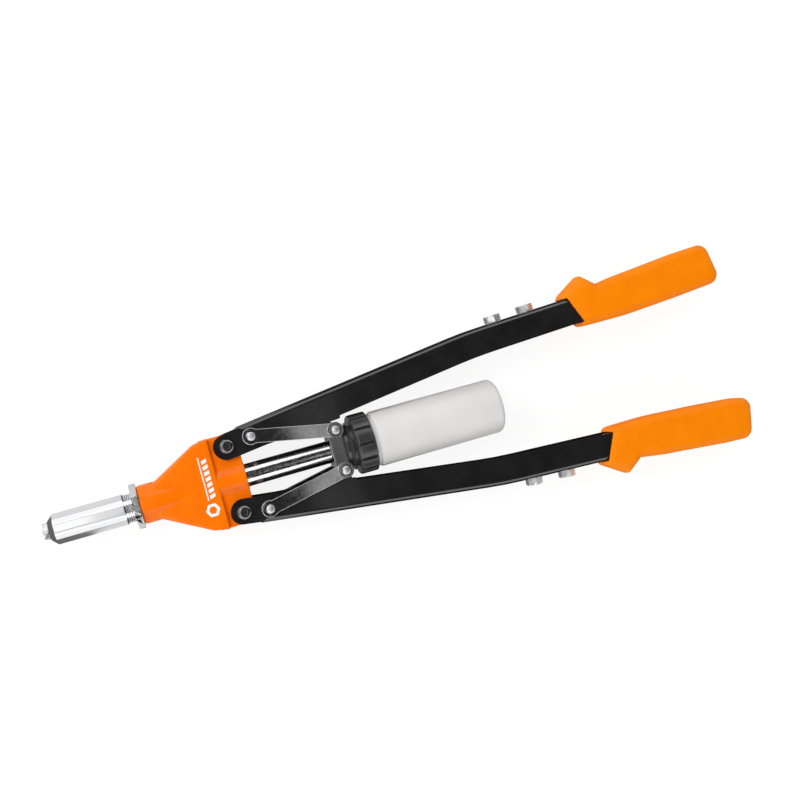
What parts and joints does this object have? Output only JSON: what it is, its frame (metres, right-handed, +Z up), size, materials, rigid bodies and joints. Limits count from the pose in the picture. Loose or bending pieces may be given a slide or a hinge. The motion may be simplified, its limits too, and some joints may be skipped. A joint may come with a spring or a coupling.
{
  "type": "hand riveter",
  "caption": "Long-arm hand riveter: tapered orange head with a chromed nose sleeve, black channel handles with orange guard grips, links to a sliding crosshead and a milky catcher bottle.",
  "frame": {"origin": "centre of the footprint on the plane that the tool lies on, under its lowest point", "axes": "+X along the pulling axis from the nose to the grips, +Y towards the right-hand handle, +Z up with the tool lying flat"},
  "size_m": [0.5266, 0.1542, 0.0431],
  "materials": {
    "orange_enamel": "glossy orange enamel on a cast head",
    "orange_grip": "satin soft moulded grip",
    "black_enamel": "semi-gloss black paint on pressed steel",
    "chrome_plate": "bright plated steel",
    "bright_steel": "zinc-plated and turned steel",
    "dark_steel": "black-oxide steel",
    "spring_steel": "drawn spring wire",
    "black_plastic": "moulded fluted collar",
    "milky_plastic": "translucent milky blow-moulded plastic"
  },
  "bodies": {
    "head": {"head_casting": "orange_enamel", "front_sleeve": "chrome_plate", "sleeve_lock_nut": "bright_steel", "nosepiece_fitted": "bright_steel", "pivot_screw_right": "dark_steel", "pivot_screw_left": "dark_steel", "pivot_nut_right": "bright_steel", "pivot_nut_left": "bright_steel"},
    "handle_right": {"arm_right": "black_enamel", "grip_right": "orange_grip", "spare_nosepiece_right_1": "bright_steel", "spare_nosepiece_right_2": "bright_steel"},
    "handle_left": {"arm_left": "black_enamel", "grip_left": "orange_grip", "spare_nosepiece_left_1": "bright_steel", "spare_nosepiece_left_2": "bright_steel"},
    "puller": {"draw_tube": "chrome_plate", "crosshead": "bright_steel", "jaw_case": "dark_steel", "jaw_spring": "spring_steel", "catcher_cap": "black_plastic", "crosshead_pin_right": "bright_steel", "crosshead_pin_left": "bright_steel", "crosshead_washer_right_top": "bright_steel", "crosshead_washer_right_bottom": "bright_steel", "crosshead_washer_left_top": "bright_steel", "crosshead_washer_left_bottom": "bright_steel", "crosshead_circlip_right_top": "dark_steel", "crosshead_circlip_right_bottom": "dark_steel", "crosshead_circlip_left_top": "dark_steel", "crosshead_circlip_left_bottom": "dark_steel"},
    "link_right": {"link_right_top": "chrome_plate", "link_right_bottom": "chrome_plate", "handle_pin_right": "bright_steel", "handle_circlip_right_top": "dark_steel", "handle_circlip_right_bottom": "dark_steel"},
    "link_left": {"link_left_top": "chrome_plate", "link_left_bottom": "chrome_plate", "handle_pin_left": "bright_steel", "handle_circlip_left_top": "dark_steel", "handle_circlip_left_bottom": "dark_steel"},
    "jaws": {"jaw_1": "dark_steel", "jaw_2": "dark_steel", "jaw_3": "dark_steel", "jaw_pusher": "bright_steel"},
    "bottle": {"catcher_bottle": "milky_plastic"}
  },
  "joints": [
    {"name": "handle_right_open", "type": "hinge", "parent": "head", "child": "handle_right", "pos_m": [-0.1338, 0.0234, 0.02157], "axis": [0, 0, 1], "range_deg": [0, 60]},
    {"name": "handle_left_open", "type": "hinge", "parent": "head", "child": "handle_left", "pos_m": [-0.1338, -0.0234, 0.02157], "axis": [0, 0, -1], "range_deg": [0, 60]},
    {"name": "puller_slide", "type": "slide", "parent": "head", "child": "puller", "axis": [-1, 0, 0], "range_m": [0, 0.01405]},
    {"name": "link_right_swing", "type": "hinge", "parent": "puller", "child": "link_right", "pos_m": [-0.05869, 0.0145, 0.02157], "axis": [0, 0, -1], "range_deg": [0, 15.2]},
    {"name": "link_left_swing", "type": "hinge", "parent": "puller", "child": "link_left", "pos_m": [-0.05869, -0.0145, 0.02157], "axis": [0, 0, 1], "range_deg": [0, 15.2]},
    {"name": "jaw_release", "type": "slide", "parent": "puller", "child": "jaws", "axis": [1, 0, 0], "range_m": [0, 0.003], "stiffness_N_per_m": 600, "springref_m": -0.002, "deforming": ["jaw_spring"]},
    {"name": "bottle_twist", "type": "hinge", "parent": "puller", "child": "bottle", "pos_m": [-0.0343, 0, 0.02157], "axis": [1, 0, 0], "continuous": true}
  ],
  "couplings": [
    {"joint": "handle_left_open", "follows": "handle_right_open", "ratio": 1},
    {"joint": "puller_slide", "follows": "handle_right_open", "m_per_rad": 0.0134},
    {"joint": "link_right_swing", "follows": "handle_right_open", "ratio": 0.252},
    {"joint": "link_left_swing", "follows": "handle_right_open", "ratio": 0.252}
  ]
}
